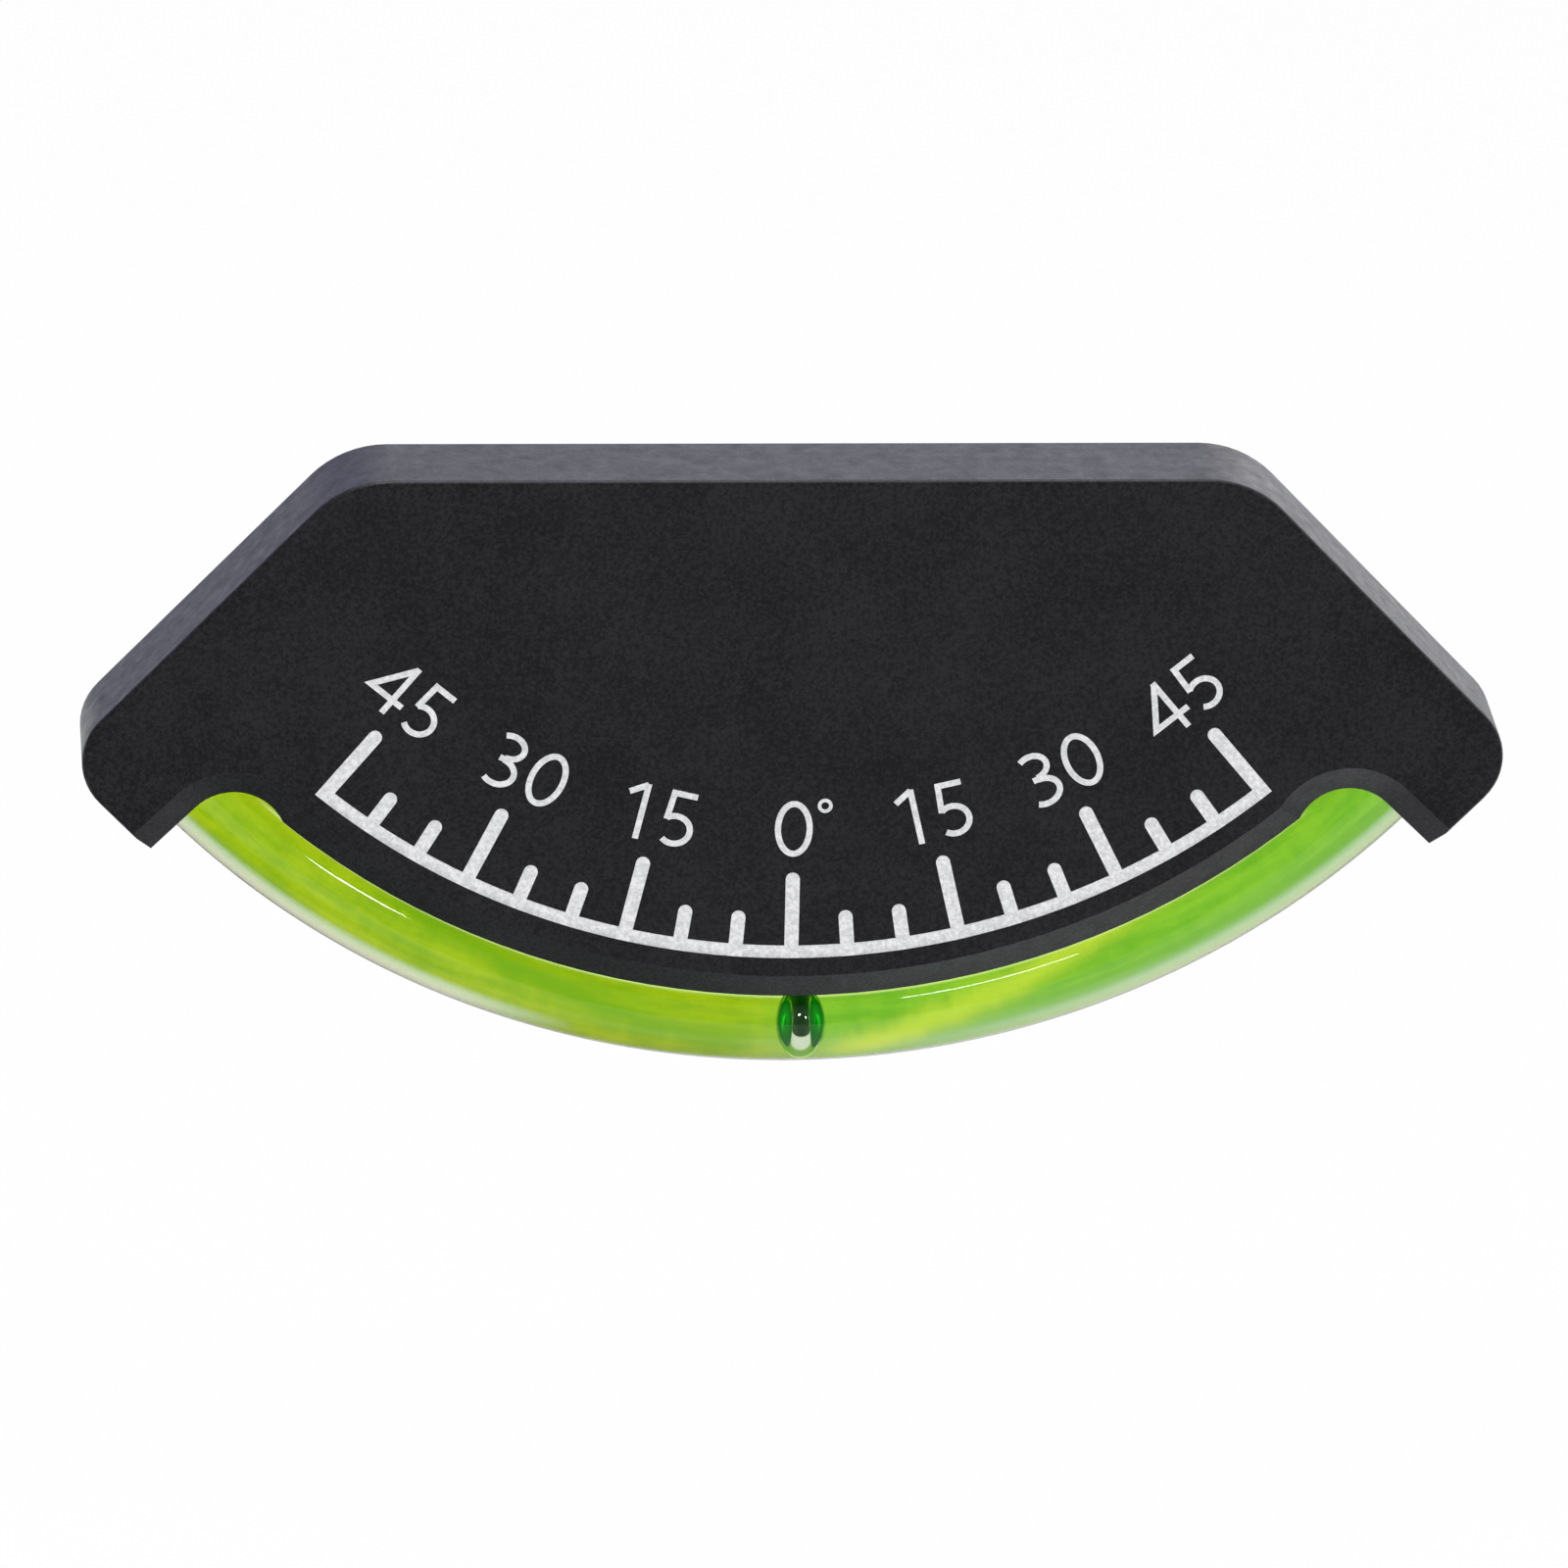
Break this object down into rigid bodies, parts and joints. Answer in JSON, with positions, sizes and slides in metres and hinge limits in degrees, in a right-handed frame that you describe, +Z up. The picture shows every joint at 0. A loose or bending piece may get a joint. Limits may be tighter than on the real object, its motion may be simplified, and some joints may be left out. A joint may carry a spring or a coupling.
{
  "type": "ball inclinometer",
  "caption": "Wall-mounted ball inclinometer: a bevelled plate with a degree scale over a curved, liquid-filled tube in which a ball rolls to show the tilt.",
  "frame": {"origin": "centre of the adhesive face of the foam pad at the back", "axes": "+Y into the wall, +X to the right as seen from the front, +Z up"},
  "size_m": [0.1144, 0.0107, 0.051],
  "materials": {
    "housing": "matte, finely textured",
    "back_cover": "matte",
    "cover_screws": "zinc plated",
    "curved_tube": "clear, polished",
    "damping_liquid": "transparent yellow-green",
    "ball": "polished",
    "plug": "smooth",
    "rubber": "soft",
    "mounting_pad": "foam with adhesive face",
    "scale_marks": "white, slightly raised"
  },
  "bodies": {
    "body": {"housing": "housing", "back_cover": "back_cover", "cover_screws": "cover_screws", "curved_tube": "curved_tube", "damping_liquid": "damping_liquid", "plug_left": "plug", "plug_right": "plug", "plug_seal_left": "rubber", "plug_seal_right": "rubber", "end_cushion_left": "rubber", "end_cushion_right": "rubber", "mounting_pad": "mounting_pad", "scale_marks": "scale_marks"},
    "ball": {"ball": "ball"}
  },
  "joints": [
    {"name": "ball_travel", "type": "hinge", "parent": "body", "child": "ball", "pos_m": [0, -0.00535, 0.03933], "axis": [0, -1, 0], "range_deg": [-45.62, 43.58], "deforming": ["damping_liquid"]}
  ]
}
